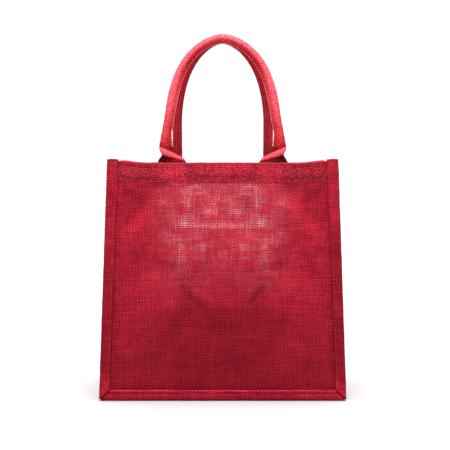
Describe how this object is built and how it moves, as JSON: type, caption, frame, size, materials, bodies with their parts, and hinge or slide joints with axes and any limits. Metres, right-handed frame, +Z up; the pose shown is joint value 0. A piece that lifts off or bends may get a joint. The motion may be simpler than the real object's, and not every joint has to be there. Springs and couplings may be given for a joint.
{
  "type": "gift bag",
  "caption": "Upright red hessian gift bag with side gussets, bound fin seams, a turned hem and padded cloth handles.",
  "frame": {"origin": "middle of the bag on the surface it stands on, level with the lower faces of the two bottom bindings", "axes": "+Z up, +X across the bag along the panels, -Y out of the front panel"},
  "size_m": [0.3078, 0.1828, 0.4748],
  "materials": {
    "red_hessian": "open plain weave jute, matt, laminated inside",
    "binding_tape": "folded strip of the same cloth, matt",
    "handle_twill": "soft cotton twill, matt",
    "cotton_rope": "twisted cotton",
    "orange_thread": "polyester sewing thread, slight sheen",
    "red_thread": "polyester sewing thread, slight sheen"
  },
  "bodies": {
    "gusset_strip": {"left_gusset": "red_hessian", "right_gusset": "red_hessian", "base_panel": "red_hessian", "left_gusset_hem_stitch": "red_thread", "right_gusset_hem_stitch": "red_thread"},
    "front_side": {"front_panel": "red_hessian", "front_bottom_binding": "binding_tape", "front_binding_topstitch": "orange_thread", "front_hem_stitch": "red_thread", "front_left_binding": "binding_tape", "front_left_tab": "handle_twill", "front_left_tab_stitching": "red_thread", "front_left_bartack": "orange_thread", "front_right_binding": "binding_tape", "front_right_tab": "handle_twill", "front_right_tab_stitching": "red_thread", "front_right_bartack": "orange_thread"},
    "front_handle_ends": {"front_left_handle_end": "handle_twill", "front_right_handle_end": "handle_twill"},
    "front_handle_loop": {"front_handle_cover": "handle_twill", "front_handle_core": "cotton_rope", "front_handle_seam_stitch": "red_thread"},
    "back_side": {"back_panel": "red_hessian", "back_bottom_binding": "binding_tape", "back_binding_topstitch": "orange_thread", "back_hem_stitch": "red_thread", "back_left_binding": "binding_tape", "back_left_tab": "handle_twill", "back_left_tab_stitching": "red_thread", "back_left_bartack": "orange_thread", "back_right_binding": "binding_tape", "back_right_tab": "handle_twill", "back_right_tab_stitching": "red_thread", "back_right_bartack": "orange_thread"},
    "back_handle_ends": {"back_left_handle_end": "handle_twill", "back_right_handle_end": "handle_twill"},
    "back_handle_loop": {"back_handle_cover": "handle_twill", "back_handle_core": "cotton_rope", "back_handle_seam_stitch": "red_thread"}
  },
  "joints": [
    {"name": "flat_fold", "type": "slide", "parent": "gusset_strip", "child": "front_side", "axis": [0, 1, 0], "range_m": [0, 0.072], "deforming": ["left_gusset", "right_gusset", "base_panel", "left_gusset_hem_stitch", "right_gusset_hem_stitch"]},
    {"name": "flat_fold_back", "type": "slide", "parent": "gusset_strip", "child": "back_side", "axis": [0, -1, 0], "range_m": [0, 0.073], "deforming": ["left_gusset", "right_gusset", "base_panel", "left_gusset_hem_stitch", "right_gusset_hem_stitch"]},
    {"name": "front_handle_swing", "type": "hinge", "parent": "front_side", "child": "front_handle_ends", "pos_m": [0, -0.0905, 0.2975], "axis": [1, 0, 0], "range_deg": [0, 178]},
    {"name": "back_handle_swing", "type": "hinge", "parent": "back_side", "child": "back_handle_ends", "pos_m": [0, 0.0905, 0.2975], "axis": [-1, 0, 0], "range_deg": [0, 178]},
    {"name": "front_handle_kink", "type": "hinge", "parent": "front_handle_ends", "child": "front_handle_loop", "pos_m": [0, -0.0899, 0.318], "axis": [1, 0, 0], "range_deg": [0, 28]},
    {"name": "back_handle_kink", "type": "hinge", "parent": "back_handle_ends", "child": "back_handle_loop", "pos_m": [0, 0.0899, 0.318], "axis": [-1, 0, 0], "range_deg": [0, 28]}
  ],
  "couplings": [
    {"joint": "flat_fold_back", "follows": "flat_fold", "ratio": 1},
    {"joint": "front_handle_kink", "follows": "flat_fold", "rad_per_m": 6.5},
    {"joint": "back_handle_kink", "follows": "flat_fold", "rad_per_m": 6.5}
  ]
}
